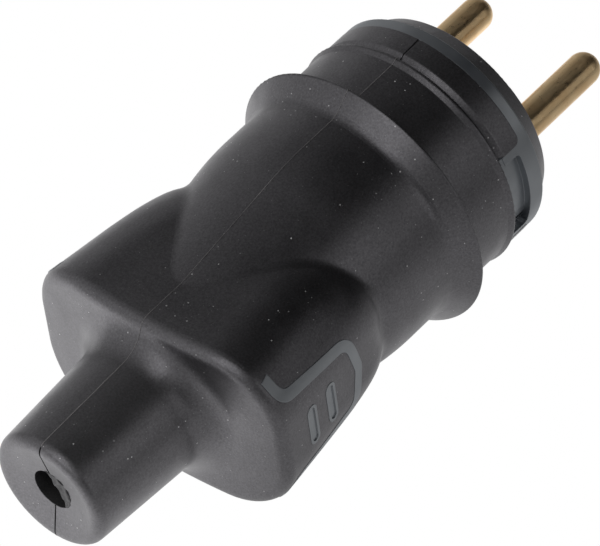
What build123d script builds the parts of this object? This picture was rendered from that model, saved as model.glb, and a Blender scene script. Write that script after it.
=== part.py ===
"""Straight rewireable rubber mains plug with two round pins and a hole for an earth pin.

Frame: the origin is the centre of the engagement face, +X runs to the pin tips, +Z is up through the
mould seam. The grip has its flat faces above and below, and its inlays to the left (+Y) and the right (-Y).
"""
import os
from math import atan2, hypot, sqrt, tan

from build123d import *

# Mating dimensions of the plug system, in mm
PIN_SPACING = 19.0
PIN_RADIUS = 2.4
PIN_LENGTH = 19.0
EARTH_OFFSET = 10.0
EARTH_BORE_RADIUS = 2.5

# Clearances
SLIDE_CLEARANCE = 0.1
TOUCH = 0.05
ROUNDED_SHARE = 0.9

# Front plate with its band
PLATE_BEVEL = 1.7
PLATE_ROUND = 0.4
PLATE_DEPTH = 2.95
PLATE_THICKNESS = 7.0
BAND_PROUD = 0.04
BAND_WIDTH = 3.35
BAND_SLOPE = 0.85
BAND_DROP = 0.5
BAND_EDGE = 0.25
BAND_END_ROUND = 1.0
SLIT_WIDTH_FRONT = 0.44
SLIT_WIDTH_REAR = 0.1
SKIRT_WALL = 1.8
SKIRT_LENGTH = 7.0

# Grey ring with its side tabs
RING_RADIUS = 18.02
RING_PROUD = 0.42
RING_EDGE = 0.25
RING_WIDTH = 1.85
RING_WALL = 1.82
TAB_WALL = 2.12
TAB_HALF_WIDTH = 7.75
TAB_LENGTH = 3.8
POCKET_HALF_WIDTH = 6.6
POCKET_DEPTH = 1.1
POCKET_WALL = 0.9
POCKET_CORNER = 0.7
WINDOW_Z = -4.5
WINDOW_WIDTH = 2.2
WINDOW_LENGTH = 2.0

# Snap bead that holds the front plate in the housing
BEAD_HEIGHT = 0.6
BEAD_WIDTH = 1.2

# Housing, front to rear
MOUTH_GAP = 0.35
LIP_PROUD = 0.66
LIP_SLOPE = 1.25
LIP_EDGE = 0.4
FRONT_NECK_RADIUS = 17.98
FRONT_NECK_FLARE = 0.12
COLLAR_RADIUS = 21.1
COLLAR_FRONT = 19.2
COLLAR_WIDTH = 3.4
COLLAR_RIM = 0.9
COLLAR_ROOT = 2.0
COLLAR_CREST = 0.3
COLLAR_SCOOP = 0.9
NECK_RADIUS = 18.1
NECK_STRAIGHT_END = 28.5
NECK_CONE_START = 36.0
NECK_CONE_DROP = 0.6
NECK_CONE_END = 58.0
NECK_CONE_RATIO = 0.172

# Grip block
GRIP_REAR = 63.4
GRIP_HALF_HEIGHT = 14.25
GRIP_HALF_WIDTH = 21.8
GRIP_FLARE = 0.125
GRIP_CORNER = 11.0
GRIP_REAR_EDGE = 1.8
GRIP_REAR_BULGE = 110.0
GRIP_CREASE = 2.5
SHOULDER_START = 51.5
SHOULDER_LENGTH = 16.5
SHOULDER_DROP = 7.5
SHOULDER_SINK = 1.75
SHOULDER_TUCK_POWER = 8
SHOULDER_CORNER_RATIO = 0.75

# Cable sleeve
SLEEVE_REAR = 84.7
SLEEVE_REAR_RADIUS = 9.1
SLEEVE_TAPER = 0.05
SLEEVE_EDGE = 1.5
SLEEVE_DISH = 2.1
SLEEVE_ROOT = 4.5
CABLE_HOLE_RADIUS = 3.1
CABLE_HOLE_LENGTH = 4.5

# Hollow of the housing
TERMINAL_SPACE_CLEARANCE = 1.0
TERMINAL_SPACE_END = 30.5
CLAMP_SPACE_RADIUS = 11.8
CLAMP_SPACE_START = 37.0
CLAMP_SPACE_END = 51.0
CABLE_SPACE_RADIUS = 5.6
CABLE_SPACE_START = 62.0

# Grey inlays of the grip
INLAY_DEPTH = 1.0
INLAY_PROUD = 0.05
STRIPE_WIDTH = 1.65
STRIPE_BEND = 2.6
STRIPE_MID_X = 43.75
STRIPE_CORNER_X = 45.2
STRIPE_CORNER_Z = 6.1
STRIPE_ELBOW_X = 59.2
STRIPE_ELBOW_Z = 8.0
STRIPE_END_X = 59.7
STRIPE_END_Z = 11.2
BAR_REAR_X = 54.7
BAR_FRONT_X = 50.3
BAR_CENTRE_Z = -0.4
BAR_LENGTH = 7.0
BAR_WIDTH = 2.1
BAR_CHANNEL_WIDTH = 1.2
BAR_CHANNEL_DEPTH = 0.12

# Terminals and the carrier behind the front plate
PIN_SEAT_RADIUS = 2.6
PIN_SHOULDER = 5.0
TERMINAL_RADIUS = 3.6
EARTH_TERMINAL_RADIUS = 3.2
TERMINAL_END = 27.0
EARTH_MOUTH = 1.0
EARTH_BORE_LENGTH = 14.0
WIRE_HOLE_RADIUS = 1.6
WIRE_HOLE_DEPTH = 9.0
CARRIER_WALL = 0.5
CARRIER_CLEARANCE = 0.2
CARRIER_END = 29.0
WIRE_PASSAGE_RADIUS = 1.9

# Screws
TERMINAL_SCREW_X = 22.5
TERMINAL_SCREW_RADIUS = 1.4
TERMINAL_HEAD_RADIUS = 2.5
TERMINAL_HEAD_HEIGHT = 1.9
TERMINAL_HEAD_LIFT = 0.5
SCREW_ACCESS_RADIUS = 2.8
CARRIER_SCREW_Y = 6.5
CARRIER_SCREW_Z = -7.0
CARRIER_SCREW_RADIUS = 1.45
CARRIER_SCREW_GRIP = 3.3
CARRIER_HEAD_RADIUS = 2.6
CARRIER_HEAD_HEIGHT = 2.2
CARRIER_HEAD_SEAT = 14.0
CLAMP_SCREW_RADIUS = 1.45
CLAMP_SCREW_GRIP = 4.5
CLAMP_HEAD_RADIUS = 2.4
CLAMP_HEAD_HEIGHT = 2.0
DRIVER_SLOT_WIDTH = 0.7
DRIVER_SLOT_DEPTH = 0.8

# Wire guard leaves
LEAF_WIDTH = 2.2
LEAF_LENGTH = 7.0
LEAF_THICKNESS = 0.4
LEAF_HEIGHT = 0.95

# Cord grip
CLAMP_REAR = 48.0
CLAMP_LENGTH = 8.0
CLAMP_HALF_WIDTH = 8.5
CLAMP_HEIGHT = 4.6
SADDLE_DEPTH = 6.5
TONGUE_THICKNESS = 2.0
CORD_GROOVE_RADIUS = 3.2
CLAMP_SCREW_Y = 6.0

# Stations along the axis, from the dimensions above
x_ring_front = -PLATE_DEPTH
x_ring_rear = x_ring_front - RING_WIDTH
x_band_rear = x_ring_rear - BAND_WIDTH
x_band_foot = x_band_rear - BAND_SLOPE
x_mouth = x_band_foot - MOUTH_GAP
x_skirt_end = x_band_foot - SKIRT_LENGTH
x_bead = x_band_foot - SKIRT_LENGTH / 2
pin_y = PIN_SPACING / 2
carrier_radius = pin_y + TERMINAL_RADIUS + CARRIER_WALL
skirt_inner = carrier_radius + CARRIER_CLEARANCE
skirt_radius = skirt_inner + SKIRT_WALL
plate_radius = RING_RADIUS - RING_PROUD
plate_face_radius = plate_radius - PLATE_BEVEL
band_radius = RING_RADIUS + BAND_PROUD
lip_radius = band_radius + LIP_PROUD
seat_radius = RING_RADIUS - RING_WALL
gap_floor_radius = RING_RADIUS - TAB_WALL
terminal_space_radius = carrier_radius + TERMINAL_SPACE_CLEARANCE
crest_angle = atan2(COLLAR_WIDTH, COLLAR_RADIUS - NECK_RADIUS)
crest_round = min(COLLAR_CREST, ROUNDED_SHARE * COLLAR_RIM * tan(crest_angle / 2))
neck_cone_radius = NECK_RADIUS - NECK_CONE_DROP
shoulder_run = GRIP_REAR - SHOULDER_START + SHOULDER_LENGTH
shoulder_tuck = GRIP_HALF_WIDTH - GRIP_FLARE * shoulder_run - neck_cone_radius + SHOULDER_SINK
sleeve_root_radius = SLEEVE_REAR_RADIUS + SLEEVE_TAPER * (SLEEVE_REAR - GRIP_REAR)
x_clamp = -CLAMP_REAR + CLAMP_LENGTH / 2
reach = 2 * COLLAR_RADIUS

os.makedirs("parts", exist_ok=True)


def keep(piece, label):
    """Names a finished piece and writes it out."""
    piece.label = label
    export_step(piece, f"parts/{label}.step")


def side_block(outline, core_radius, side):
    """A side view run out to the left (side 1) or the right (side -1) from a core round the axis."""
    with BuildPart() as block:
        with BuildSketch(Plane.XZ):
            with BuildLine():
                add(outline)
            make_face()
        extrude(amount=-side * reach)
        with BuildSketch(Plane.YZ):
            Circle(core_radius)
        extrude(amount=reach, both=True, mode=Mode.SUBTRACT)
    return block.part


def tab_outline(x_rear):
    """The side view of a tab, flared where it meets the ring."""
    x_flare = x_ring_rear - BAND_END_ROUND
    z_flare = TAB_HALF_WIDTH + BAND_END_ROUND
    with BuildLine() as outline:
        Polyline(
            (x_flare, TAB_HALF_WIDTH),
            (x_rear, TAB_HALF_WIDTH),
            (x_rear, -TAB_HALF_WIDTH),
            (x_flare, -TAB_HALF_WIDTH),
        )
        CenterArc((x_flare, -z_flare), BAND_END_ROUND, 0, 90)
        Line((x_ring_rear, -z_flare), (x_ring_rear, z_flare))
        CenterArc((x_flare, z_flare), BAND_END_ROUND, -90, 90)
    return outline.line


def pocket_outline(x_front, x_rear):
    """The side view of a finger pocket, with round front corners."""
    x_corner = x_front - POCKET_CORNER
    z_corner = POCKET_HALF_WIDTH - POCKET_CORNER
    with BuildLine() as outline:
        Polyline(
            (x_corner, POCKET_HALF_WIDTH),
            (x_rear, POCKET_HALF_WIDTH),
            (x_rear, -POCKET_HALF_WIDTH),
            (x_corner, -POCKET_HALF_WIDTH),
        )
        CenterArc((x_corner, -z_corner), POCKET_CORNER, -90, 90)
        Line((x_front, -z_corner), (x_front, z_corner))
        CenterArc((x_corner, z_corner), POCKET_CORNER, 0, 90)
    return outline.line


def grip_form(grow):
    """The grip block, with every section grown outward by the given amount."""
    rear_stretch = (-0.25, 0.25, 0.6, 0.85, 1)
    shoulder_stretch = (0.25, 0.5, 0.7, 0.85, 0.95, 1)
    stations = [(-GRIP_REAR + s * (GRIP_REAR - SHOULDER_START), 0) for s in rear_stretch]
    stations += [(-SHOULDER_START + s * SHOULDER_LENGTH, s) for s in shoulder_stretch]
    with BuildPart() as form:
        for x, s in stations:
            drop = SHOULDER_DROP * (1 - sqrt(1 - s * s))
            tuck = shoulder_tuck * s ** SHOULDER_TUCK_POWER
            half_width = GRIP_HALF_WIDTH - GRIP_FLARE * (x + GRIP_REAR) - tuck + grow
            half_height = GRIP_HALF_HEIGHT - drop + grow
            corner = GRIP_CORNER - SHOULDER_CORNER_RATIO * drop + grow
            with BuildSketch(Plane.YZ.offset(x)):
                RectangleRounded(2 * half_width, 2 * half_height, corner)
        loft()
        with BuildSketch():
            with Locations((GRIP_REAR_BULGE - GRIP_REAR, 0)):
                Circle(GRIP_REAR_BULGE)
        extrude(amount=reach, both=True, mode=Mode.INTERSECT)
    return form.part


def stripe_prism(side):
    """The outline of a stripe, run through the whole side of the grip."""
    upper = [
        (-STRIPE_END_X, STRIPE_END_Z),
        (-STRIPE_ELBOW_X, STRIPE_ELBOW_Z),
        (-STRIPE_CORNER_X, STRIPE_CORNER_Z),
    ]
    lower = [(x, -z) for x, z in reversed(upper)]
    with BuildPart() as prism:
        with BuildSketch(Plane.XZ):
            with BuildLine():
                FilletPolyline(*upper, (-STRIPE_MID_X, 0), *lower, radius=STRIPE_BEND)
            trace(line_width=STRIPE_WIDTH)
        extrude(amount=-side * reach)
    return prism.part


def bar_prism(x, side, width, length):
    """A round-ended upright bar, run through the whole side of the grip."""
    with BuildPart() as prism:
        with BuildSketch(Plane.XZ):
            with Locations((-x, BAR_CENTRE_Z)):
                SlotOverall(length, width, rotation=90)
        extrude(amount=-side * reach)
    return prism.part


def at_sleeve_root(edge):
    """Whether an edge lies where the sleeve runs out of the rear face."""
    box = edge.bounding_box()
    behind = box.min.X > -GRIP_REAR - TOUCH and box.max.X < -NECK_CONE_END
    return behind and max(box.max.Y, box.max.Z) < sleeve_root_radius + TOUCH


def circles(builder, radius, x):
    """The edges of a part that run round the axis at a radius and a station."""
    rims = builder.edges().filter_by(GeomType.CIRCLE)
    return [e for e in rims if abs(e.radius - radius) < TOUCH and abs(e.arc_center.X - x) < TOUCH]


def on_neck_cone(edge):
    """Whether an edge lies where the neck's cone runs out of the grip."""
    middle = edge.position_at(0.5)
    cone_radius = neck_cone_radius - NECK_CONE_RATIO * (-middle.X - NECK_CONE_START)
    behind = -NECK_CONE_END < edge.bounding_box().min.X and edge.bounding_box().max.X < -NECK_CONE_START
    return behind and abs(hypot(middle.Y, middle.Z) - cone_radius) < TOUCH


def slotted_screw(shank_radius, shank_length, head_radius, head_height):
    """A screw standing on its shank end at the origin, with its head up."""
    with BuildPart() as screw:
        Cylinder(shank_radius, shank_length, align=(Align.CENTER, Align.CENTER, Align.MIN))
        with BuildSketch(Plane.XY.offset(shank_length)):
            Circle(head_radius)
        extrude(amount=head_height)
        with BuildSketch(Plane.XY.offset(shank_length + head_height)):
            Rectangle(2 * head_radius, DRIVER_SLOT_WIDTH)
        extrude(amount=-DRIVER_SLOT_DEPTH, mode=Mode.SUBTRACT)
    return screw.part


grip_outer = grip_form(INLAY_PROUD)
grip_floor = grip_form(-INLAY_DEPTH)
bar_floor = grip_form(-BAR_CHANNEL_DEPTH)
sides = {"left": 1, "right": -1}
bars = {"rear": BAR_REAR_X, "front": BAR_FRONT_X}
terminals = {"line": (pin_y, 0), "neutral": (-pin_y, 0), "earth": (0, -EARTH_OFFSET)}

# Housing: grip, neck with collar and lip, sleeve, then the hollow and the inlay pockets
with BuildPart() as grip:
    add(grip_form(0))
    fillet(grip.faces().sort_by(Axis.X)[0].edges(), GRIP_REAR_EDGE)

with BuildPart() as neck:
    neck_end_radius = neck_cone_radius - NECK_CONE_RATIO * (NECK_CONE_END - NECK_CONE_START)
    collar_rear = -COLLAR_FRONT - COLLAR_WIDTH
    with BuildSketch(Plane.XZ):
        with BuildLine():
            Polyline(
                (-NECK_CONE_END, 0),
                (-NECK_CONE_END, neck_end_radius),
                (-NECK_CONE_START, neck_cone_radius),
            )
            TangentArc(
                (-NECK_CONE_START, neck_cone_radius),
                (-NECK_STRAIGHT_END, NECK_RADIUS),
                tangent=(1, NECK_CONE_RATIO),
            )
            Polyline(
                (-NECK_STRAIGHT_END, NECK_RADIUS),
                (collar_rear, NECK_RADIUS),
                (-COLLAR_FRONT, COLLAR_RADIUS),
                (-COLLAR_FRONT, COLLAR_RADIUS - COLLAR_RIM),
                (-COLLAR_FRONT - COLLAR_SCOOP, FRONT_NECK_RADIUS),
                (x_mouth - LIP_SLOPE, FRONT_NECK_RADIUS + FRONT_NECK_FLARE),
                (x_mouth, lip_radius),
                (x_mouth, 0),
                (-NECK_CONE_END, 0),
            )
        make_face()
    revolve(axis=Axis.X)
    fillet(circles(neck, NECK_RADIUS, collar_rear), COLLAR_ROOT)
    fillet(circles(neck, COLLAR_RADIUS, -COLLAR_FRONT), crest_round)
    fillet(circles(neck, lip_radius, x_mouth), LIP_EDGE)

with BuildPart() as housing:
    add(grip.part)
    with BuildSketch(Plane.XZ):
        with BuildLine():
            Polyline(
                (-SLEEVE_REAR + SLEEVE_DISH, 0),
                (-SLEEVE_REAR, SLEEVE_REAR_RADIUS),
                (-GRIP_REAR, sleeve_root_radius),
                (-NECK_CONE_END, sleeve_root_radius),
                (-NECK_CONE_END, 0),
                close=True,
            )
        make_face()
    revolve(axis=Axis.X)
    fillet(circles(housing, SLEEVE_REAR_RADIUS, -SLEEVE_REAR), SLEEVE_EDGE)
    fillet([e for e in housing.edges() if at_sleeve_root(e)], SLEEVE_ROOT)
    add(neck.part)
    fillet([e for e in housing.edges() if on_neck_cone(e)], GRIP_CREASE)
    with BuildSketch(Plane.XZ):
        with BuildLine():
            Polyline(
                (x_mouth, 0),
                (x_mouth, skirt_radius + SLIDE_CLEARANCE),
                (x_bead + BEAD_WIDTH / 2, skirt_radius + SLIDE_CLEARANCE),
                (x_bead + BEAD_WIDTH / 2, skirt_radius + SLIDE_CLEARANCE - BEAD_HEIGHT),
                (x_bead - BEAD_WIDTH / 2, skirt_radius + SLIDE_CLEARANCE - BEAD_HEIGHT),
                (x_bead - BEAD_WIDTH / 2, skirt_radius + SLIDE_CLEARANCE),
                (x_skirt_end - SLIDE_CLEARANCE, skirt_radius + SLIDE_CLEARANCE),
                (x_skirt_end - SLIDE_CLEARANCE, terminal_space_radius),
                (-TERMINAL_SPACE_END, terminal_space_radius),
                (-CLAMP_SPACE_START, CLAMP_SPACE_RADIUS),
                (-CLAMP_SPACE_END, CLAMP_SPACE_RADIUS),
                (-CABLE_SPACE_START, CABLE_SPACE_RADIUS),
                (-SLEEVE_REAR + CABLE_HOLE_LENGTH + CABLE_SPACE_RADIUS, CABLE_SPACE_RADIUS),
                (-SLEEVE_REAR + CABLE_HOLE_LENGTH, CABLE_HOLE_RADIUS),
                (-SLEEVE_REAR, CABLE_HOLE_RADIUS),
                (-SLEEVE_REAR, 0),
                close=True,
            )
        make_face()
    revolve(axis=Axis.X, mode=Mode.SUBTRACT)
    for side in sides.values():
        add(stripe_prism(side) - grip_floor, mode=Mode.SUBTRACT)
        for x in bars.values():
            add(bar_prism(x, side, BAR_WIDTH, BAR_LENGTH) - grip_floor, mode=Mode.SUBTRACT)
keep(housing.part, "housing")

# Grey inlays, filling their pockets and standing a little proud
for name, side in sides.items():
    with BuildPart() as stripe:
        add(stripe_prism(side))
        add(grip_outer, mode=Mode.INTERSECT)
        add(grip_floor, mode=Mode.SUBTRACT)
    keep(stripe.part, f"{name}_stripe")
    for place, x in bars.items():
        with BuildPart() as bar:
            add(bar_prism(x, side, BAR_WIDTH, BAR_LENGTH))
            add(grip_outer, mode=Mode.INTERSECT)
            add(grip_floor, mode=Mode.SUBTRACT)
            rim = BAR_WIDTH - BAR_CHANNEL_WIDTH
            channel = bar_prism(x, side, BAR_CHANNEL_WIDTH, BAR_LENGTH - rim) - bar_floor
            add(channel, mode=Mode.SUBTRACT)
        keep(bar.part, f"{name}_{place}_bar")

# Front plate: disc, seat of the ring, slit band and the skirt that snaps into the housing
with BuildPart() as front_plate:
    with BuildSketch(Plane.XZ):
        with BuildLine():
            Polyline(
                (0, 0),
                (0, plate_face_radius),
                (x_ring_front, plate_radius),
                (x_ring_front, seat_radius),
                (x_ring_rear, seat_radius),
                (x_ring_rear, band_radius),
                (x_band_rear, band_radius),
                (x_band_foot, band_radius - BAND_DROP),
                (x_band_foot, skirt_radius),
                (x_bead + BEAD_WIDTH / 2 + SLIDE_CLEARANCE, skirt_radius),
                (x_bead + BEAD_WIDTH / 2 + SLIDE_CLEARANCE, skirt_radius - BEAD_HEIGHT),
                (x_bead - BEAD_WIDTH / 2 - SLIDE_CLEARANCE, skirt_radius - BEAD_HEIGHT),
                (x_bead - BEAD_WIDTH / 2 - SLIDE_CLEARANCE, skirt_radius),
                (x_skirt_end, skirt_radius),
                (x_skirt_end, skirt_inner),
                (-PLATE_THICKNESS, skirt_inner),
                (-PLATE_THICKNESS, 0),
                close=True,
            )
        make_face()
    revolve(axis=Axis.X)
    fillet(circles(front_plate, plate_face_radius, 0), PLATE_ROUND)
    fillet(circles(front_plate, band_radius, x_band_rear), BAND_EDGE)
    for side in sides.values():
        add(side_block(tab_outline(x_band_foot), gap_floor_radius, side), mode=Mode.SUBTRACT)
    with BuildSketch(Plane.XY):
        with BuildLine():
            Polyline(
                (x_ring_rear, SLIT_WIDTH_FRONT / 2),
                (x_band_foot, SLIT_WIDTH_REAR / 2),
                (x_band_foot, -SLIT_WIDTH_REAR / 2),
                (x_ring_rear, -SLIT_WIDTH_FRONT / 2),
                close=True,
            )
        make_face()
    slit = extrude(amount=reach, both=True, mode=Mode.PRIVATE)
    with BuildSketch(Plane.YZ):
        Circle(gap_floor_radius)
    core = extrude(amount=reach, both=True, mode=Mode.PRIVATE)
    add(slit - core, mode=Mode.SUBTRACT)
    with BuildSketch(Plane.YZ):
        with Locations((pin_y, 0), (-pin_y, 0)):
            Circle(PIN_SEAT_RADIUS)
        with Locations((0, -EARTH_OFFSET)):
            Circle(EARTH_BORE_RADIUS)
    extrude(amount=-PLATE_THICKNESS, mode=Mode.SUBTRACT)
    with BuildSketch(Plane.YZ.offset(-PLATE_THICKNESS)):
        with Locations((pin_y, 0), (-pin_y, 0)):
            Circle(TERMINAL_RADIUS)
    extrude(amount=PLATE_THICKNESS - PIN_SHOULDER, mode=Mode.SUBTRACT)
    with BuildSketch(Plane.YZ.offset(-PLATE_THICKNESS)):
        with Locations((0, -EARTH_OFFSET)):
            Circle(EARTH_TERMINAL_RADIUS)
    extrude(amount=PLATE_THICKNESS - EARTH_MOUTH, mode=Mode.SUBTRACT)
    with BuildSketch(Plane.YZ.offset(-PLATE_THICKNESS)):
        with Locations((CARRIER_SCREW_Y, CARRIER_SCREW_Z), (-CARRIER_SCREW_Y, CARRIER_SCREW_Z)):
            Circle(CARRIER_SCREW_RADIUS)
    extrude(amount=CARRIER_SCREW_GRIP, mode=Mode.SUBTRACT)
keep(front_plate.part, "front_plate")

# Grey ring, with a tab and a finger pocket on each side
with BuildPart() as front_ring:
    with BuildSketch(Plane.YZ.offset(x_ring_rear)):
        Circle(RING_RADIUS)
        Circle(seat_radius, mode=Mode.SUBTRACT)
    extrude(amount=RING_WIDTH)
    fillet(front_ring.faces().sort_by(Axis.X)[-1].outer_wire().edges(), RING_EDGE)
    x_tab_rear = x_ring_rear - TAB_LENGTH
    with BuildSketch(Plane.YZ.offset(x_tab_rear)):
        Circle(RING_RADIUS)
    tab_round = extrude(amount=TAB_LENGTH, mode=Mode.PRIVATE)
    pocket_front = x_ring_rear - POCKET_WALL
    pocket_radius = RING_RADIUS - POCKET_DEPTH
    for side in sides.values():
        add(tab_round & side_block(tab_outline(x_tab_rear), gap_floor_radius, side))
        add(side_block(pocket_outline(pocket_front, x_tab_rear), pocket_radius, side), mode=Mode.SUBTRACT)
        with BuildSketch(Plane.XZ):
            with Locations((pocket_front - WINDOW_LENGTH / 2, WINDOW_Z)):
                Rectangle(WINDOW_LENGTH, WINDOW_WIDTH)
        extrude(amount=-side * reach, mode=Mode.SUBTRACT)
keep(front_ring.part, "front_ring")


def wire_terminal(blank):
    """A turned brass contact lying on the X axis, drilled for its wire and its screw."""
    with BuildPart() as contact:
        add(blank)
        with BuildSketch(Plane.YZ.offset(-TERMINAL_END)):
            Circle(WIRE_HOLE_RADIUS)
        extrude(amount=WIRE_HOLE_DEPTH, mode=Mode.SUBTRACT)
        with BuildSketch():
            with Locations((-TERMINAL_SCREW_X, 0)):
                Circle(TERMINAL_SCREW_RADIUS)
        extrude(amount=2 * TERMINAL_RADIUS, mode=Mode.SUBTRACT)
    return contact.part


# Pins: round-ended, shouldered in the plate, with the wire terminal at the rear
with BuildPart() as pin_blank:
    with BuildSketch(Plane.XZ):
        with BuildLine():
            CenterArc((PIN_LENGTH - PIN_RADIUS, 0), PIN_RADIUS, 0, 90)
            Polyline(
                (PIN_LENGTH - PIN_RADIUS, PIN_RADIUS),
                (0, PIN_RADIUS),
                (0, PIN_SEAT_RADIUS),
                (-PIN_SHOULDER, PIN_SEAT_RADIUS),
                (-PIN_SHOULDER, TERMINAL_RADIUS),
                (-TERMINAL_END, TERMINAL_RADIUS),
                (-TERMINAL_END, 0),
                (PIN_LENGTH, 0),
            )
        make_face()
    revolve(axis=Axis.X)
pin = wire_terminal(pin_blank.part)
keep(pin.moved(Location((0, pin_y, 0))), "line_pin")
keep(pin.moved(Location((0, -pin_y, 0))), "neutral_pin")

# Earth socket: a sleeve for the socket's earth pin, with its wire terminal at the rear
with BuildPart() as earth_blank:
    with BuildSketch(Plane.XZ):
        with BuildLine():
            Polyline(
                (-EARTH_MOUTH, EARTH_BORE_RADIUS),
                (-EARTH_MOUTH, EARTH_TERMINAL_RADIUS),
                (-TERMINAL_END, EARTH_TERMINAL_RADIUS),
                (-TERMINAL_END, 0),
                (-EARTH_MOUTH - EARTH_BORE_LENGTH, 0),
                (-EARTH_MOUTH - EARTH_BORE_LENGTH, EARTH_BORE_RADIUS),
                close=True,
            )
        make_face()
    revolve(axis=Axis.X)
keep(wire_terminal(earth_blank.part).moved(Location((0, 0, -EARTH_OFFSET))), "earth_socket")

# Carrier: traps the contacts against the plate, and its tongue carries the saddle of the cord grip
with BuildPart() as pin_carrier:
    with BuildSketch(Plane.YZ.offset(-CARRIER_END)):
        Circle(carrier_radius)
    extrude(amount=CARRIER_END - PLATE_THICKNESS)
    with BuildSketch(Plane.XY.offset(-SADDLE_DEPTH)):
        with Locations((-(CARRIER_END + CLAMP_REAR) / 2, 0)):
            Rectangle(CLAMP_REAR - CARRIER_END, 2 * CLAMP_HALF_WIDTH)
    extrude(amount=TONGUE_THICKNESS)
    with BuildSketch(Plane.XY.offset(-SADDLE_DEPTH)):
        with Locations((x_clamp, 0)):
            Rectangle(CLAMP_LENGTH, 2 * CLAMP_HALF_WIDTH)
    extrude(amount=SADDLE_DEPTH)
    with BuildSketch(Plane.YZ.offset(-CLAMP_REAR)):
        Circle(CORD_GROOVE_RADIUS)
    extrude(amount=CLAMP_LENGTH, mode=Mode.SUBTRACT)
    with BuildSketch(Plane.XY):
        with Locations((x_clamp, CLAMP_SCREW_Y), (x_clamp, -CLAMP_SCREW_Y)):
            Circle(CLAMP_SCREW_RADIUS)
    extrude(amount=-CLAMP_SCREW_GRIP, mode=Mode.SUBTRACT)
    with BuildSketch(Plane.YZ.offset(-PLATE_THICKNESS)):
        with Locations((pin_y, 0), (-pin_y, 0)):
            Circle(TERMINAL_RADIUS)
        with Locations((0, -EARTH_OFFSET)):
            Circle(EARTH_TERMINAL_RADIUS)
    extrude(amount=PLATE_THICKNESS - TERMINAL_END, mode=Mode.SUBTRACT)
    with BuildSketch(Plane.YZ.offset(-CARRIER_END)):
        with Locations(*terminals.values()):
            Circle(WIRE_PASSAGE_RADIUS)
    extrude(amount=CARRIER_END - TERMINAL_END, mode=Mode.SUBTRACT)
    for y, z in terminals.values():
        with BuildSketch(Plane.XY.offset(z)):
            with Locations((-TERMINAL_SCREW_X, y)):
                Circle(SCREW_ACCESS_RADIUS)
        extrude(amount=reach, mode=Mode.SUBTRACT)
    for y in (CARRIER_SCREW_Y, -CARRIER_SCREW_Y):
        with BuildSketch(Plane.YZ.offset(-PLATE_THICKNESS)):
            with Locations((y, CARRIER_SCREW_Z)):
                Circle(CARRIER_SCREW_RADIUS)
        extrude(amount=PLATE_THICKNESS - CARRIER_HEAD_SEAT, mode=Mode.SUBTRACT)
        with BuildSketch(Plane.YZ.offset(-CARRIER_HEAD_SEAT)):
            with Locations((y, CARRIER_SCREW_Z)):
                Circle(CARRIER_HEAD_RADIUS + SLIDE_CLEARANCE)
        extrude(amount=CARRIER_HEAD_SEAT - CARRIER_END, mode=Mode.SUBTRACT)
keep(pin_carrier.part, "pin_carrier")

# Bridge of the cord grip
with BuildPart() as cord_clamp:
    with BuildSketch(Plane.XY):
        with Locations((x_clamp, 0)):
            Rectangle(CLAMP_LENGTH, 2 * CLAMP_HALF_WIDTH)
        with Locations((x_clamp, CLAMP_SCREW_Y), (x_clamp, -CLAMP_SCREW_Y)):
            Circle(CLAMP_SCREW_RADIUS, mode=Mode.SUBTRACT)
    extrude(amount=CLAMP_HEIGHT)
    with BuildSketch(Plane.YZ.offset(-CLAMP_REAR)):
        Circle(CORD_GROOVE_RADIUS)
    extrude(amount=CLAMP_LENGTH, mode=Mode.SUBTRACT)
keep(cord_clamp.part, "cord_clamp")

# Screws, each kind as one group
with BuildPart() as clamp_screws:
    clamp_shank = CLAMP_SCREW_GRIP + CLAMP_HEIGHT
    clamp_screw = slotted_screw(CLAMP_SCREW_RADIUS, clamp_shank, CLAMP_HEAD_RADIUS, CLAMP_HEAD_HEIGHT)
    for y in (CLAMP_SCREW_Y, -CLAMP_SCREW_Y):
        add(clamp_screw.moved(Location((x_clamp, y, -CLAMP_SCREW_GRIP))))
keep(clamp_screws.part, "clamp_screws")

with BuildPart() as carrier_screws:
    carrier_shank = CARRIER_HEAD_SEAT - PLATE_THICKNESS + CARRIER_SCREW_GRIP
    carrier_screw = slotted_screw(
        CARRIER_SCREW_RADIUS, carrier_shank, CARRIER_HEAD_RADIUS, CARRIER_HEAD_HEIGHT
    )
    x_screw_end = CARRIER_SCREW_GRIP - PLATE_THICKNESS
    for y in (CARRIER_SCREW_Y, -CARRIER_SCREW_Y):
        add(carrier_screw.moved(Location((x_screw_end, y, CARRIER_SCREW_Z), (0, -90, 0))))
keep(carrier_screws.part, "carrier_screws")

with BuildPart() as terminal_screws:
    terminal_shank = TERMINAL_RADIUS - LEAF_HEIGHT + TERMINAL_HEAD_LIFT
    terminal_screw = slotted_screw(
        TERMINAL_SCREW_RADIUS, terminal_shank, TERMINAL_HEAD_RADIUS, TERMINAL_HEAD_HEIGHT
    )
    for y, z in terminals.values():
        add(terminal_screw.moved(Location((-TERMINAL_SCREW_X, y, z + LEAF_HEIGHT))))
keep(terminal_screws.part, "terminal_screws")

# Wire guard leaves under the terminal screws
for name, (y, z) in terminals.items():
    with BuildPart() as leaf:
        with BuildSketch(Plane.XY.offset(z + LEAF_HEIGHT)):
            with Locations((-TERMINAL_SCREW_X, y)):
                Rectangle(LEAF_LENGTH, LEAF_WIDTH)
        extrude(amount=-LEAF_THICKNESS)
    keep(leaf.part, f"{name}_leaf")
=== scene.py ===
"""Looks of the rubber mains plug: mould flash and dust, grey inlays, brass pins, floor and light."""
import math

import bmesh
import bpy
from mathutils import Matrix, Vector, noise
from mathutils.bvhtree import BVHTree


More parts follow.
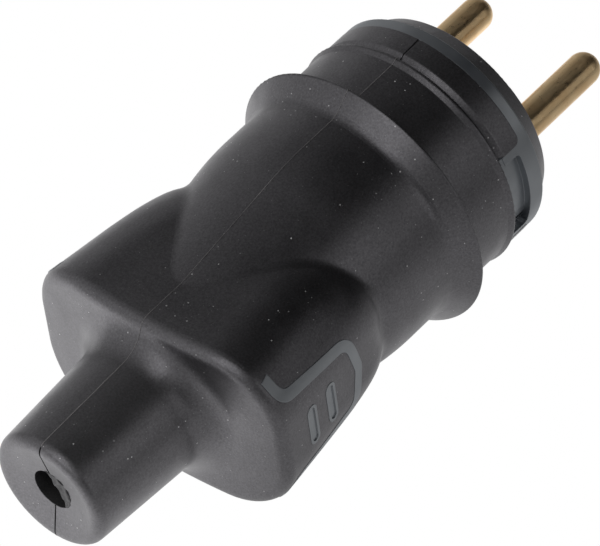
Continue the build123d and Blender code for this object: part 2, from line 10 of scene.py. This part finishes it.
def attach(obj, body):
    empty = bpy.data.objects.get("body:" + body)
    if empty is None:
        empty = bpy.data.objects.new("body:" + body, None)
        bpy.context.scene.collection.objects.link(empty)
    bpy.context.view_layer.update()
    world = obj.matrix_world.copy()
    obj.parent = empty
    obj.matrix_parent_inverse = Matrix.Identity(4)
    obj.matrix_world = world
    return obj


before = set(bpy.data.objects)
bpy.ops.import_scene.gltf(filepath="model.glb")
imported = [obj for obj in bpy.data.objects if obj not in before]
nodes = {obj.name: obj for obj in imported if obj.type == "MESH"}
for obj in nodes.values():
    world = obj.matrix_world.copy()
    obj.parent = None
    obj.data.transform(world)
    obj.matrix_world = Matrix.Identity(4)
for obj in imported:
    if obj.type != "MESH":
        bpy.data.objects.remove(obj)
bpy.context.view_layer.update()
scene = bpy.context.scene

MM = 0.001

# Camera, fitted to the photograph: angles in degrees, places in metres, sensor and lens in millimetres
CAMERA_AZIMUTH = -43.767
CAMERA_ELEVATION = 46.229
CAMERA_ROLL = -8.580
CAMERA_TARGET = Vector((-0.045, 0, 0))
CAMERA_DISTANCE = 0.85
CAMERA_SLIDE = Vector((0.007797, 0.005181))
CAMERA_REACH = 10.0
SENSOR_WIDTH = 36.0
LENS = 382.27

# Textures of the surfaces, in features per metre
RUBBER_CLOUDS = 70
RUBBER_WEAR = 240
RUBBER_MOTTLE = 3400
RUBBER_GRAIN = 5200
DUST_PATCHES = 90
PLASTIC_CLOUDS = 160
PLASTIC_SHEEN = 420
PLASTIC_GRAIN = 3600
METAL_TARNISH = 330
METAL_GROOVES = 2600

# Span of the noise over which a surface goes from one look to the other
NOISE_SPAN = (0.3, 0.7)
CLOUD_SPAN = (0.35, 0.7)
PLASTIC_SPAN = (0.35, 0.65)
GROOVE_SPAN = (0.25, 0.75)

# Strength and depth of the grain that each surface has, and the radius of softened edges
RUBBER_BUMP = (0.22, 0.06 * MM)
PLASTIC_BUMP = (0.12, 0.04 * MM)
METAL_BUMP = (0.5, 0.03 * MM)
SOFT_EDGE = 0.15 * MM

# Rubber: its colours, gloss and roughness, how far they vary, and the haze that grows toward the cable end
RUBBER_DARK = (0.005, 0.005, 0.0053)
RUBBER_LIGHT = (0.010, 0.0098, 0.0103)
RUBBER_IOR = 1.98
RUBBER_TINT = (0.967, 0.942, 1.0, 1.0)
RUBBER_ROUGHNESS = 0.37
WEAR_SWING = 0.05
MOTTLE_LOW = 0.55
HAZE = 0.03
HAZE_START = -58 * MM
HAZE_RUN = 12 * MM

# Dust in two sizes: the specks' spacing, largest radius, share of places taken and brightness
DUST = (
    (1.0 * MM, 0.12 * MM, 0.35, 1.0),
    (0.5 * MM, 0.06 * MM, 0.6, 0.4),
)
SMALLEST_SPECK = 0.3
DIMMEST_SPECK = 0.25
DUST_BARE = 0.35
DUST_THICK = 1.6

# Plastic and metal
GLOSSY_IOR = 2.4
DULL_IOR = 1.2
PLASTIC_TINT = (0.93, 0.965, 1.0, 1.0)
SHEEN_SWING = 0.06
GROOVE_POLISH = 0.08
GROOVE_DULLNESS = 0.12
GROOVE_SPREAD = 0.85
QUARTER_TURN = 0.25

# Flash of the mould along its parting plane: its section, how uneven it is (features per metre and share
# of its height), and how the plane's cut through the plug is followed
SEAM_WIDTH = 0.14 * MM
SEAM_HEIGHT = 0.07 * MM
SEAM_STEP = 0.4 * MM
END_SEAM_WIDTH = 0.32 * MM
END_SEAM_HEIGHT = 0.03 * MM
CREST_SHARE = 0.45
LOWEST_CREST = 0.25
RAGGEDNESS = ((1400, 0.6), (330, 0.5))
SHORTEST_RUN = 3
END_FACING = -0.6
END_DEPTH = 0.2 * MM
RIM_MARGIN = 0.05 * MM
RIM_DIGITS = 5
LIFT = 0.02 * MM
SIGHT = 0.3
POINT_JOIN = 1e-6
CUT_TOLERANCE = 1e-7
NO_DIRECTION = 1e-6

# Torn skin in the cable hole: its half span and aim in degrees, its form and its lumps
SKIN_SPAN = 80
SKIN_AIM = 151
SKIN_EDGE = 0.5 * MM
SKIN_PROUD = 0.05 * MM
SKIN_FALL = 0.5 * MM
SKIN_THICKNESS = 0.5 * MM
SKIN_ROOT = 0.1 * MM
SKIN_LUMPS = 0.45 * MM
SKIN_LUMPS_PER_METRE = 900
SKIN_LUMP_SEED = 3
SKIN_RAGGED = 0.35
SKIN_RAGS_PER_RADIAN = 3
SKIN_RAG_SEED = 0.5
SKIN_ACROSS = 10
SKIN_AROUND = 48

# Small fillings of the front: stations along the plug, heights, radii, and half widths of the slit's skin
FOOT_STATIONS = (-9.33 * MM, -8.55 * MM)
FOOT_HEIGHTS = (6.6 * MM, 7.74 * MM)
FOOT_RADII = (16.2 * MM, 17.95 * MM)
SILL_STATIONS = (-7.75 * MM, -5.65 * MM)
SILL_HEIGHTS = (-4.9 * MM, -3.35 * MM)
SILL_RADII = (16.2 * MM, 16.9 * MM)
SLIT_STATIONS = ((-4.85 * MM, 0.21 * MM), (-9.0 * MM, 0.045 * MM))
SLIT_RADII = (16.0 * MM, 17.9 * MM)
SIDES = (-1, 1)
BOX_FACES = [(0, 1, 3, 2), (4, 6, 7, 5), (0, 4, 5, 1), (2, 3, 7, 6), (0, 2, 6, 4), (1, 5, 7, 3)]

# Floor: how finely the outline above it is read, its size and its finish. What the plug mirrors of it is a
# painted glow: bright on the left, dimmer on the right where it paints the plug's shadow, and dimmer
# farther away
OUTLINE_DIGITS = 6
FLOOR_SIZE = 4.0
FLOOR_COLOUR = (0.86, 0.86, 0.86, 1)
FLOOR_ROUGHNESS = 0.9
FLOOR_SPECULAR = 0.1
FLOOR_LEFT = (0, 1, 0)
FLOOR_FADE = 0.025
FLOOR_SHIFT = 0.95
FLOOR_SIDES = ((0.0, 0.37), (1.0, 0.92))
FLOOR_GAIN = 1.3
FLOOR_REACH = 0.20
FLOOR_DEPTHS = ((0.25, 1.0), (0.85, 0.5))

# Light: a room that is pale on its window side, and lamps by name, direction, width and height in metres,
# and power in watts
WINDOW_SIDE = (-0.75, 0.65, 0.10)
ROOM_SHADES = ((0.1, 0.012), (0.36, 0.025), (0.5, 0.11), (0.675, 0.24), (0.825, 0.37), (0.975, 0.50))
LAMP_DISTANCE = 1.0
LAMPS = (
    ("left_box", (0.72, 0.64, 0.22), 1.2, 0.55, 0.38),
    ("right_box", (0.18, -0.92, 0.34), 1.1, 0.7, 1.0),
    ("rear_box", (-0.80, -0.06, 0.56), 0.6, 0.45, 0.7),
    ("top_box", (-0.44, -0.17, 0.88), 0.5, 0.5, 0.6),
)
WHITE = (1, 1, 1)

# Places of the colour sockets on Blender's mix node
MIX_INPUTS = (6, 7)
MIX_OUTPUT = 2


# Nodes that the materials, the floor and the room are made of

def material(name):
    """A new node material, with its node tree and its shader."""
    mat = bpy.data.materials.new(name)
    mat.use_nodes = True
    tree = mat.node_tree
    return mat, tree, tree.nodes["Principled BSDF"]


def add_node(tree, kind, **values):
    """A new node, with its properties and its inputs set by name."""
    node = tree.nodes.new(kind)
    for key, value in values.items():
        if hasattr(node, key):
            setattr(node, key, value)
        else:
            node.inputs[key].default_value = value
    return node


def object_places(tree):
    """The socket of places on the object, in metres."""
    return tree.nodes.new("ShaderNodeTexCoord").outputs["Object"]


def math_node(tree, operation, *values):
    """The result of an operation on values, each a socket or a number."""
    node = add_node(tree, "ShaderNodeMath", operation=operation)
    for socket, value in zip(node.inputs, values):
        if isinstance(value, (int, float)):
            socket.default_value = value
        else:
            tree.links.new(value, socket)
    return node.outputs[0]


def vector_node(tree, operation, source, fixed):
    """The number that an operation makes of a vector socket and a fixed vector."""
    node = add_node(tree, "ShaderNodeVectorMath", operation=operation)
    tree.links.new(source, node.inputs[0])
    node.inputs[1].default_value = fixed
    return node.outputs["Value"]


def ramp(tree, source, stops):
    """A colour ramp fed by a socket, with stops of (place, grey or colour)."""
    node = tree.nodes.new("ShaderNodeValToRGB")
    elements = node.color_ramp.elements
    while len(elements) < len(stops):
        elements.new(0.5)
    for element, (place, colour) in zip(elements, stops):
        element.position = place
        element.color = (*colour, 1) if isinstance(colour, tuple) else (colour, colour, colour, 1)
    tree.links.new(source, node.inputs["Fac"])
    return node.outputs["Color"]


def mix_colour(tree, factor, first, second):
    """A mix of two colours, each a socket or a plain colour."""
    node = add_node(tree, "ShaderNodeMix", data_type="RGBA")
    tree.links.new(factor, node.inputs["Factor"])
    for place, colour in zip(MIX_INPUTS, (first, second)):
        if isinstance(colour, tuple):
            node.inputs[place].default_value = (*colour, 1)
        else:
            tree.links.new(colour, node.inputs[place])
    return node.outputs[MIX_OUTPUT]


def mix_shader(tree, factor, first, second):
    """A mix of two shader sockets."""
    node = tree.nodes.new("ShaderNodeMixShader")
    for socket, source in zip(node.inputs, (factor, first, second)):
        tree.links.new(source, socket)
    return node.outputs[0]


def surface_noise(tree, scale, detail=2.0, roughness=0.5, stretch=(1, 1, 1)):
    """Noise fixed to the object, with its features per metre."""
    mapping = add_node(tree, "ShaderNodeMapping", Scale=stretch)
    tree.links.new(object_places(tree), mapping.inputs["Vector"])
    texture = add_node(tree, "ShaderNodeTexNoise", Scale=scale, Detail=detail, Roughness=roughness)
    tree.links.new(mapping.outputs["Vector"], texture.inputs["Vector"])
    return texture.outputs["Fac"]


def spread(tree, source, span, low, high):
    """A grey or colour that goes from low to high while a socket crosses a span."""
    return ramp(tree, source, tuple(zip(span, (low, high))))


def varied(tree, scale, low, high, span=NOISE_SPAN, **texture):
    """A grey or colour that wanders between low and high over the surface."""
    return spread(tree, surface_noise(tree, scale, **texture), span, low, high)


def specks(tree, spacing, radius, share):
    """Dust: a mask of round specks in a share of a 3-D texture's cells, and a random value per cell."""
    cells = add_node(tree, "ShaderNodeTexVoronoi", Scale=1 / spacing)
    tree.links.new(object_places(tree), cells.inputs["Vector"])
    chance = tree.nodes.new("ShaderNodeSeparateColor")
    tree.links.new(cells.outputs["Color"], chance.inputs["Color"])
    largest = radius / spacing
    smallest = SMALLEST_SPECK * largest
    size = math_node(tree, "MULTIPLY_ADD", chance.outputs["Green"], largest - smallest, smallest)
    inside = math_node(tree, "LESS_THAN", cells.outputs["Distance"], size)
    gathered = varied(tree, DUST_PATCHES, DUST_BARE * share, min(1.0, DUST_THICK * share), detail=1)
    chosen = math_node(tree, "LESS_THAN", chance.outputs["Red"], gathered)
    return math_node(tree, "MULTIPLY", inside, chosen), chance.outputs["Blue"]


def cable_end(tree):
    """A share that grows from the grip to the end of the cable sleeve."""
    place = tree.nodes.new("ShaderNodeSeparateXYZ")
    tree.links.new(object_places(tree), place.inputs["Vector"])
    share = math_node(tree, "MULTIPLY_ADD", place.outputs["X"], -1 / HAZE_RUN, HAZE_START / HAZE_RUN)
    return spread(tree, share, (0, 1), 0.0, 1.0)


def bump(tree, shader, height, strength, distance):
    """Drives the shader's normal by a height socket, over softened edges."""
    soft = add_node(tree, "ShaderNodeBevel", Radius=SOFT_EDGE)
    node = add_node(tree, "ShaderNodeBump", Strength=strength, Distance=distance)
    tree.links.new(soft.outputs["Normal"], node.inputs["Normal"])
    tree.links.new(height, node.inputs["Height"])
    tree.links.new(node.outputs["Normal"], shader.inputs["Normal"])


# Materials

def rubber(name, dark, light, rough=RUBBER_ROUGHNESS, gloss=1.0):
    """Moulded black rubber: cloudy, finely grained, dull toward the cable end, with pale dust."""
    mat, tree, shader = material(name)
    base = varied(tree, RUBBER_CLOUDS, dark, light, CLOUD_SPAN, detail=4)
    base = mix_colour(tree, cable_end(tree), base, tuple(c + HAZE for c in light))
    for spacing, radius, share, pale in DUST:
        mask, chance = specks(tree, spacing, radius, share)
        dust = spread(tree, chance, (0, 1), DIMMEST_SPECK * pale, pale)
        base = mix_colour(tree, mask, base, dust)
    tree.links.new(base, shader.inputs["Base Color"])
    worn = varied(tree, RUBBER_WEAR, rough - WEAR_SWING, rough + WEAR_SWING, detail=5, roughness=0.6)
    tree.links.new(worn, shader.inputs["Roughness"])
    shader.inputs["IOR"].default_value = RUBBER_IOR
    shader.inputs["Specular Tint"].default_value = RUBBER_TINT
    mottle = varied(tree, RUBBER_MOTTLE, MOTTLE_LOW * gloss, gloss, detail=3, roughness=0.7)
    tree.links.new(mottle, shader.inputs["Specular IOR Level"])
    bump(tree, shader, surface_noise(tree, RUBBER_GRAIN, detail=3, roughness=0.65), *RUBBER_BUMP)
    return mat


def plastic(name, dark, light, rough, ior):
    """Moulded plastic with a faint mottle and grain."""
    mat, tree, shader = material(name)
    base = varied(tree, PLASTIC_CLOUDS, dark, light, PLASTIC_SPAN, detail=4)
    tree.links.new(base, shader.inputs["Base Color"])
    sheen = varied(tree, PLASTIC_SHEEN, rough - SHEEN_SWING, rough + SHEEN_SWING, detail=3)
    tree.links.new(sheen, shader.inputs["Roughness"])
    shader.inputs["IOR"].default_value = ior
    shader.inputs["Specular IOR Level"].default_value = 1.0
    shader.inputs["Specular Tint"].default_value = PLASTIC_TINT
    bump(tree, shader, surface_noise(tree, PLASTIC_GRAIN), *PLASTIC_BUMP)
    return mat


def metal(name, dark, light, rough, axis, stretch):
    """Turned metal, a little tarnished, whose fine grooves spread the light along its axis."""
    mat, tree, shader = material(name)
    base = varied(tree, METAL_TARNISH, dark, light, CLOUD_SPAN, detail=5, roughness=0.6)
    tree.links.new(base, shader.inputs["Base Color"])
    shader.inputs["Metallic"].default_value = 1.0
    around = add_node(tree, "ShaderNodeTangent", direction_type="RADIAL", axis=axis)
    tree.links.new(around.outputs["Tangent"], shader.inputs["Tangent"])
    shader.inputs["Anisotropic"].default_value = GROOVE_SPREAD
    shader.inputs["Anisotropic Rotation"].default_value = QUARTER_TURN
    grooves = surface_noise(tree, METAL_GROOVES, detail=3, roughness=0.6, stretch=stretch)
    polish = spread(tree, grooves, GROOVE_SPAN, rough - GROOVE_POLISH, rough + GROOVE_DULLNESS)
    tree.links.new(polish, shader.inputs["Roughness"])
    bump(tree, shader, grooves, *METAL_BUMP)
    return mat


finishes = {
    "rubber": rubber("black_rubber", RUBBER_DARK, RUBBER_LIGHT),
    "inlay": plastic(
        "grey_inlay", (0.045, 0.052, 0.064), (0.058, 0.066, 0.080), rough=0.36, ior=GLOSSY_IOR
    ),
    "insulator": rubber("black_insulator", (0.006, 0.006, 0.0062), (0.011, 0.0107, 0.0112)),
    "brass": metal(
        "turned_brass", (0.90, 0.62, 0.33), (1.0, 0.76, 0.45), rough=0.32, axis="X", stretch=(0.5, 1, 1)
    ),
    "steel": metal(
        "zinc_steel", (0.52, 0.53, 0.54), (0.70, 0.71, 0.72), rough=0.35, axis="Z", stretch=(1, 1, 0.4)
    ),
}
# The side flash is pale partly from wear and dust and partly as a painted highlight of its crest catching
# the light
pale_seam = rubber("worn_rubber_painted_highlight", (0.04, 0.038, 0.037), (0.32, 0.307, 0.30), rough=0.5)
torn_rubber = rubber("torn_rubber", (0.006, 0.006, 0.0065), (0.014, 0.014, 0.015), rough=0.42, gloss=0.26)
# The end face's flash is near black: painted shade of the fine groove along the parting line
dark_seam = plastic("seam_shadow", (0.004, 0.004, 0.004), (0.008, 0.008, 0.008), rough=0.8, ior=DULL_IOR)

for node in nodes.values():
    for k, held in enumerate(node.data.materials):
        node.data.materials[k] = finishes[held.name.split(".")[0]]


# Pieces that the scene adds

def piece(name, shape, mat, smooth=False):
    """A mesh piece, from its points and faces, that rides on the plug."""
    points, faces = shape
    mesh = bpy.data.meshes.new(name)
    mesh.from_pydata(points, [], faces)
    mesh.validate()
    mesh.materials.append(mat)
    for polygon in mesh.polygons:
        polygon.use_smooth = smooth
    obj = bpy.data.objects.new(name, mesh)
    scene.collection.objects.link(obj)
    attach(obj, "root")


def joined(shapes):
    """Several shapes, each of points and faces, as one."""
    points, faces = [], []
    for more_points, more_faces in shapes:
        faces += [tuple(len(points) + k for k in face) for face in more_faces]
        points += more_points
    return points, faces


def mesh_copy(node):
    """A node's mesh in the frame, with its corners joined."""
    copy = bmesh.new()
    copy.from_mesh(node.data)
    copy.transform(node.matrix_world)
    bmesh.ops.remove_doubles(copy, verts=copy.verts[:], dist=POINT_JOIN)
    return copy


def hole_rim(mesh):
    """The radius and station of the cable hole's rim: the rearmost of the points nearest the axis."""
    near = min((v.co for v in mesh.verts), key=lambda p: (round(math.hypot(p.y, p.z), RIM_DIGITS), p.x))
    return math.hypot(near.y, near.z), near.x


body = mesh_copy(nodes["housing"])
hole_radius, hole_x = hole_rim(body)


# Mould flash

def seam_links(mesh, solids):
    """Neighbours and outward directions of each point where the parting plane cuts the plug's outside."""
    every = mesh.verts[:] + mesh.edges[:] + mesh.faces[:]
    plane = {"plane_co": (0, 0, 0), "plane_no": (0, 1, 0)}
    cut = bmesh.ops.bisect_plane(mesh, geom=every, dist=CUT_TOLERANCE, **plane)
    links = {}
    for edge in cut["geom_cut"]:
        if not isinstance(edge, bmesh.types.BMEdge) or len(edge.link_faces) < 2:
            continue
        out = sum((face.normal for face in edge.link_faces), Vector())
        out.y = 0
        middle = (edge.verts[0].co + edge.verts[1].co) / 2
        if out.length < NO_DIRECTION or abs(middle.z) < hole_radius + RIM_MARGIN:
            continue
        out.normalize()
        if any(solid.ray_cast(middle + out * LIFT, out, SIGHT)[0] for solid in solids):
            continue
        for one, other in (edge.verts, reversed(edge.verts)):
            links.setdefault(one, []).append((other, out))
    return links


def seam_runs(links):
    """Runs of (point, outward direction) from one free end of the seam to the next."""
    runs = []
    used = set()
    for start in [point for point in links if len(links[point]) == 1]:
        if start in used:
            continue
        run = []
        here = start
        while here is not None:
            used.add(here)
            out = sum((direction for _, direction in links[here]), Vector()).normalized()
            run.append((here.co.copy(), out))
            ahead = [point for point, _ in links[here] if point not in used]
            here = ahead[0] if ahead else None
        runs.append(run)
    return runs


def finer(run, step):
    """A run with its long stretches divided."""
    points = [run[0]]
    for (p, n), (q, m) in zip(run, run[1:]):
        count = max(1, math.ceil((q - p).length / step))
        points += [(p.lerp(q, k / count), n.lerp(m, k / count).normalized()) for k in range(1, count + 1)]
    return points


def fin(run, width, height):
    """The points and faces of a low, uneven ridge that follows a run."""
    points, faces = [], []
    side = Vector((0, width / 2, 0))
    for place, out in run:
        ragged = 1 + sum(share * noise.noise(place * scale) for scale, share in RAGGEDNESS)
        crest = place + out * height * max(LOWEST_CREST, ragged)
        foot = place - out * height
        points += [foot - side, crest - side * CREST_SHARE, crest + side * CREST_SHARE, foot + side]
    last = len(points) - 4
    for k in range(0, last, 4):
        faces += [(k + a, k + b, k + b + 4, k + a + 4) for a, b in ((0, 1), (1, 2), (2, 3), (3, 0))]
    faces += [(3, 2, 1, 0), (last, last + 1, last + 2, last + 3)]
    return points, faces


def flash(runs, width, height):
    """The ridges along runs, as one shape."""
    return joined(fin(run, width, height) for run in runs if len(run) >= SHORTEST_RUN)


def on_end(place, out):
    """Whether a point of a run lies on the end face of the cable sleeve."""
    return out.x < END_FACING and place.x < hole_x + END_DEPTH


solids = [BVHTree.FromBMesh(mesh_copy(nodes[name])) for name in ("housing", "front_plate", "front_ring")]
cut_runs = seam_runs(seam_links(body, solids))
runs = [finer(run, SEAM_STEP) for run in cut_runs if len(run) >= SHORTEST_RUN]
side_runs = [[stop for stop in run if not on_end(*stop)] for run in runs]
end_runs = [[stop for stop in run if on_end(*stop)] for run in runs]
# Pale ridges along the parting line: wear and dust with a painted highlight
piece("seam_flash", flash(side_runs, SEAM_WIDTH, SEAM_HEIGHT), pale_seam)
# Near-black ridges on the end face: painted shade of the parting line's groove
piece("end_seam", flash(end_runs, END_SEAM_WIDTH, END_SEAM_HEIGHT), dark_seam)


# Cable hole

def hole_skin():
    """The torn skin left on one side of the cable hole: a lumpy plate from the wall to a ragged edge."""
    front, back = [], []
    for i in range(SKIN_AROUND + 1):
        turn = math.radians(SKIN_SPAN) * (2 * i / SKIN_AROUND - 1)
        angle = math.radians(SKIN_AIM) + turn
        ragged = 1 + SKIN_RAGGED * noise.noise(Vector((SKIN_RAGS_PER_RADIAN * turn, SKIN_RAG_SEED, 0)))
        edge = min(hole_radius - SKIN_ROOT, SKIN_EDGE * ragged / math.cos(turn))
        for j in range(SKIN_ACROSS + 1):
            t = j / SKIN_ACROSS
            r = (hole_radius + SKIN_ROOT) * (1 - t) + edge * t
            y, z = r * math.cos(angle), r * math.sin(angle)
            spot = Vector((SKIN_LUMPS_PER_METRE * y, SKIN_LUMPS_PER_METRE * z, SKIN_LUMP_SEED))
            lump = SKIN_LUMPS * noise.noise(spot)
            front.append(Vector((hole_x - SKIN_PROUD + SKIN_FALL * t * t + lump, y, z)))
            back.append(Vector((hole_x - SKIN_PROUD + SKIN_FALL + SKIN_THICKNESS, y, z)))
    row = SKIN_ACROSS + 1
    total = len(front)
    faces = []
    for i in range(SKIN_AROUND):
        for j in range(SKIN_ACROSS):
            a = i * row + j
            b, c, d = a + 1, a + row + 1, a + row
            faces += [(a, b, c, d), (d + total, c + total, b + total, a + total)]
    border = list(range(row))
    border += [i * row + SKIN_ACROSS for i in range(1, SKIN_AROUND + 1)]
    border += [SKIN_AROUND * row + j for j in range(SKIN_ACROSS - 1, -1, -1)]
    border += [i * row for i in range(SKIN_AROUND - 1, 0, -1)]
    for a, b in zip(border, border[1:] + border[:1]):
        faces.append((b, a, a + total, b + total))
    return front + back, faces


piece("hole_skin", hole_skin(), torn_rubber, smooth=True)


# Small fillings of the front: feet of the ring's tabs, sills of their windows, skin in the band's slit

def block(stations, heights, radii, side):
    """The points and faces of a block on one side of the plug, between two radii."""
    points = []
    for x in stations:
        for z in heights:
            points += [Vector((x, side * math.sqrt(r * r - z * z), z)) for r in radii]
    return points, BOX_FACES


def slit_skin(side):
    """The points and faces of the wedge that nearly fills the band's slit, above or below."""
    points = []
    for x, half_width in SLIT_STATIONS:
        for y in (-half_width, half_width):
            points += [Vector((x, y, side * r)) for r in SLIT_RADII]
    return points, BOX_FACES


feet = []
for side in SIDES:
    for end in SIDES:
        feet.append(block(FOOT_STATIONS, [end * z for z in FOOT_HEIGHTS], FOOT_RADII, side))
sills = [block(SILL_STATIONS, SILL_HEIGHTS, SILL_RADII, side) for side in SIDES]
piece("tab_feet", joined(feet), finishes["inlay"])
piece("window_sills", joined(sills), finishes["inlay"])
piece("slit_skin", joined(slit_skin(side) for side in SIDES), finishes["insulator"])


# Floor, where the plug lies on its collar and on the rear edge of its grip

def left_turn(a, b, c):
    """Twice the area of the triangle of three (x, z) points, positive where they turn left."""
    return (b[0] - a[0]) * (c[1] - a[1]) - (b[1] - a[1]) * (c[0] - a[0])


def resting_floor(points, over_x):
    """The lower hull edge of (x, z) points under a station: a point on it and its upward normal."""
    hull = []
    for point in sorted(set(points)):
        while len(hull) > 1 and left_turn(hull[-2], hull[-1], point) <= 0:
            hull.pop()
        hull.append(point)
    for (x0, z0), (x1, z1) in zip(hull, hull[1:]):
        if x0 <= over_x <= x1:
            return Vector((x0, 0, z0)), Vector((z0 - z1, 0, x1 - x0)).normalized()


def floor_finish():
    """A pale floor, white to the camera, whose glow where the plug mirrors it is painted light and shade.
    """
    mat, tree, shader = material("pale_floor")
    shader.inputs["Base Color"].default_value = FLOOR_COLOUR
    shader.inputs["Roughness"].default_value = FLOOR_ROUGHNESS
    shader.inputs["Specular IOR Level"].default_value = FLOOR_SPECULAR
    spot = tree.nodes.new("ShaderNodeNewGeometry").outputs["Position"]
    # Painted light and shade on the mirrored glow: brighter toward the left, a painted shadow toward the
    # right, fading farther away
    leftward = vector_node(tree, "DOT_PRODUCT", spot, FLOOR_LEFT)
    sides = ramp(tree, math_node(tree, "MULTIPLY_ADD", leftward, 1 / FLOOR_FADE, FLOOR_SHIFT), FLOOR_SIDES)
    away = vector_node(tree, "DISTANCE", spot, CAMERA_TARGET)
    depths = ramp(tree, math_node(tree, "MULTIPLY", away, 1 / FLOOR_REACH), FLOOR_DEPTHS)
    mirrored = math_node(tree, "MULTIPLY", math_node(tree, "MULTIPLY", sides, FLOOR_GAIN), depths)
    path = tree.nodes.new("ShaderNodeLightPath").outputs
    glow = add_node(tree, "ShaderNodeEmission", Strength=1.0)
    tree.links.new(mix_colour(tree, path["Is Camera Ray"], mirrored, WHITE), glow.inputs["Color"])
    lit = math_node(tree, "MAXIMUM", path["Is Camera Ray"], path["Is Glossy Ray"])
    surface = mix_shader(tree, lit, shader.outputs[0], glow.outputs[0])
    tree.links.new(surface, tree.nodes["Material Output"].inputs["Surface"])
    return mat


housing_points = [v.co for v in nodes["housing"].data.vertices]
outline = [(round(p.x, OUTLINE_DIGITS), round(p.z, OUTLINE_DIGITS)) for p in housing_points]
floor_point, floor_up = resting_floor(outline, CAMERA_TARGET.x)
half = FLOOR_SIZE / 2
floor_mesh = bpy.data.meshes.new("floor")
corners = [(-half, -half, 0), (half, -half, 0), (half, half, 0), (-half, half, 0)]
floor_mesh.from_pydata(corners, [], [(0, 1, 2, 3)])
floor_mesh.materials.append(floor_finish())
floor = bpy.data.objects.new("floor", floor_mesh)
scene.collection.objects.link(floor)
tilt = floor_up.to_track_quat("Z", "X").to_matrix().to_4x4()
floor.matrix_world = Matrix.Translation(floor_point) @ tilt


# Room and lamps

def light_room():
    """A room that is pale on its window side and dark on the other, and white to the camera."""
    world = bpy.data.worlds.new("studio")
    scene.world = world
    world.use_nodes = True
    tree = world.node_tree
    room = tree.nodes["Background"]
    directions = tree.nodes.new("ShaderNodeTexCoord").outputs["Generated"]
    closeness = vector_node(tree, "DOT_PRODUCT", directions, Vector(WINDOW_SIDE).normalized())
    window_share = math_node(tree, "MULTIPLY_ADD", closeness, 0.5, 0.5)
    tree.links.new(ramp(tree, window_share, ROOM_SHADES), room.inputs["Color"])
    white = add_node(tree, "ShaderNodeBackground", Color=(*WHITE, 1), Strength=1.0)
    path = tree.nodes.new("ShaderNodeLightPath").outputs
    surface = mix_shader(tree, path["Is Camera Ray"], room.outputs[0], white.outputs[0])
    tree.links.new(surface, tree.nodes["World Output"].inputs["Surface"])


def soft_box(name, direction, width, height, power):
    """A lamp that faces the middle of the plug from a direction."""
    lamp = bpy.data.lights.new(name, "AREA")
    lamp.shape = "RECTANGLE"
    lamp.size = width
    lamp.size_y = height
    lamp.energy = power
    obj = bpy.data.objects.new(name, lamp)
    scene.collection.objects.link(obj)
    away = Vector(direction).normalized()
    obj.location = CAMERA_TARGET + away * LAMP_DISTANCE
    obj.rotation_mode = "QUATERNION"
    obj.rotation_quaternion = away.to_track_quat("Z", "Y")


light_room()
for lamp in LAMPS:
    soft_box(*lamp)


# Camera

def photo_camera():
    """The camera that took the photograph."""
    az, el, roll = (math.radians(angle) for angle in (CAMERA_AZIMUTH, CAMERA_ELEVATION, CAMERA_ROLL))
    back = Vector((math.sin(az) * math.cos(el), -math.cos(az) * math.cos(el), math.sin(el)))
    level = Vector((0, 0, 1)).cross(back).normalized()
    upright = back.cross(level)
    right = math.cos(roll) * level + math.sin(roll) * upright
    up = math.cos(roll) * upright - math.sin(roll) * level
    data = bpy.data.cameras.new("camera")
    data.sensor_fit = "HORIZONTAL"
    data.sensor_width = SENSOR_WIDTH
    data.lens = LENS
    data.clip_end = CAMERA_REACH
    camera = bpy.data.objects.new("camera", data)
    scene.collection.objects.link(camera)
    place = CAMERA_TARGET + back * CAMERA_DISTANCE + right * CAMERA_SLIDE.x + up * CAMERA_SLIDE.y
    camera.matrix_world = Matrix.Translation(place) @ Matrix((right, up, back)).transposed().to_4x4()
    return camera


scene.camera = photo_camera()
scene.view_settings.view_transform = "Standard"
